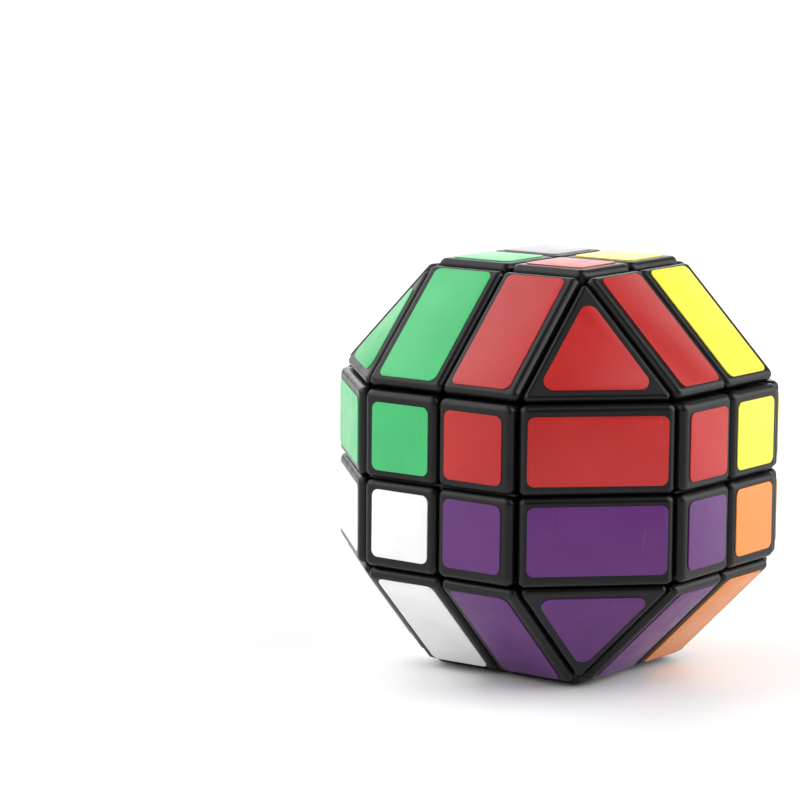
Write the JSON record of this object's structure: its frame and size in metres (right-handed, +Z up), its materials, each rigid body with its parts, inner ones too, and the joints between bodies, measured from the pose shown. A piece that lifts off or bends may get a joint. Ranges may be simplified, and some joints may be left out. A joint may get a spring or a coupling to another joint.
{
  "type": "twisty puzzle",
  "caption": "Four-layer twisty puzzle in the shape of a cube with cut-off edges and corners, black plastic with a rounded coloured sticker on each face of each piece.",
  "frame": {"origin": "centre of the spindle, where the turning axes cross, and centre of the bounding box", "axes": "+Z up, the front square face on -Y, the right square face on +X, and every square face square to an axis"},
  "size_m": [0.0704, 0.0704, 0.0704],
  "materials": {
    "cubie_plastic": "satin black moulded plastic",
    "mechanism_plastic": "satin pale grey moulded plastic, hidden",
    "core_plastic": "satin white moulded plastic, hidden",
    "screw_steel": "zinc plated steel, hidden",
    "sticker_green": "glossy vinyl",
    "sticker_red": "glossy vinyl",
    "sticker_yellow": "glossy vinyl",
    "sticker_grey": "glossy vinyl",
    "sticker_white": "glossy vinyl",
    "sticker_purple": "glossy vinyl",
    "sticker_orange": "glossy vinyl",
    "sticker_blue": "glossy vinyl"
  },
  "bodies": {
    "core": {"axle_caps_middle": "mechanism_plastic", "core_shell_lower": "core_plastic", "core_shell_upper": "core_plastic", "inner_edges_middle": "mechanism_plastic", "inner_sliders_middle": "mechanism_plastic", "screws": "screw_steel", "spindle": "core_plastic", "springs": "screw_steel", "washers": "screw_steel"},
    "top_layer": {"axle_caps_top": "mechanism_plastic", "centres_top": "cubie_plastic", "corner_top_back_left": "cubie_plastic", "corner_top_back_right": "cubie_plastic", "corner_top_front_left": "cubie_plastic", "corner_top_front_right": "cubie_plastic", "edge_pair_top_back": "cubie_plastic", "edge_pair_top_front": "cubie_plastic", "edge_pair_top_left": "cubie_plastic", "edge_pair_top_right": "cubie_plastic", "feet_top": "cubie_plastic", "inner_edges_top": "mechanism_plastic", "inner_sliders_top": "mechanism_plastic", "stickers_green_top": "sticker_green", "stickers_grey_top": "sticker_grey", "stickers_red_top": "sticker_red", "stickers_yellow_top": "sticker_yellow"},
    "upper_middle_layer": {"centres_upper_middle": "cubie_plastic", "edges_upper_middle": "cubie_plastic", "feet_upper_middle": "cubie_plastic", "inner_sliders_upper_middle": "mechanism_plastic", "stickers_green_upper_middle": "sticker_green", "stickers_grey_upper_middle": "sticker_grey", "stickers_red_upper_middle": "sticker_red", "stickers_yellow_upper_middle": "sticker_yellow"},
    "lower_middle_layer": {"centres_lower_middle": "cubie_plastic", "edges_lower_middle": "cubie_plastic", "feet_lower_middle": "cubie_plastic", "inner_sliders_lower_middle": "mechanism_plastic", "stickers_blue_lower_middle": "sticker_blue", "stickers_orange_lower_middle": "sticker_orange", "stickers_purple_lower_middle": "sticker_purple", "stickers_white_lower_middle": "sticker_white"},
    "bottom_layer": {"axle_caps_bottom": "mechanism_plastic", "centres_bottom": "cubie_plastic", "corner_bottom_back_left": "cubie_plastic", "corner_bottom_back_right": "cubie_plastic", "corner_bottom_front_left": "cubie_plastic", "corner_bottom_front_right": "cubie_plastic", "edge_pair_bottom_back": "cubie_plastic", "edge_pair_bottom_front": "cubie_plastic", "edge_pair_bottom_left": "cubie_plastic", "edge_pair_bottom_right": "cubie_plastic", "feet_bottom": "cubie_plastic", "inner_edges_bottom": "mechanism_plastic", "inner_sliders_bottom": "mechanism_plastic", "stickers_blue_bottom": "sticker_blue", "stickers_orange_bottom": "sticker_orange", "stickers_purple_bottom": "sticker_purple", "stickers_white_bottom": "sticker_white"}
  },
  "joints": [
    {"name": "turn_top_layer", "type": "hinge", "parent": "core", "child": "top_layer", "pos_m": [0, 0, 0], "axis": [0, 0, 1], "continuous": true},
    {"name": "turn_upper_middle_layer", "type": "hinge", "parent": "core", "child": "upper_middle_layer", "pos_m": [0, 0, 0], "axis": [0, 0, 1], "continuous": true},
    {"name": "turn_lower_middle_layer", "type": "hinge", "parent": "core", "child": "lower_middle_layer", "pos_m": [0, 0, 0], "axis": [0, 0, 1], "continuous": true},
    {"name": "turn_bottom_layer", "type": "hinge", "parent": "core", "child": "bottom_layer", "pos_m": [0, 0, 0], "axis": [0, 0, 1], "continuous": true}
  ]
}
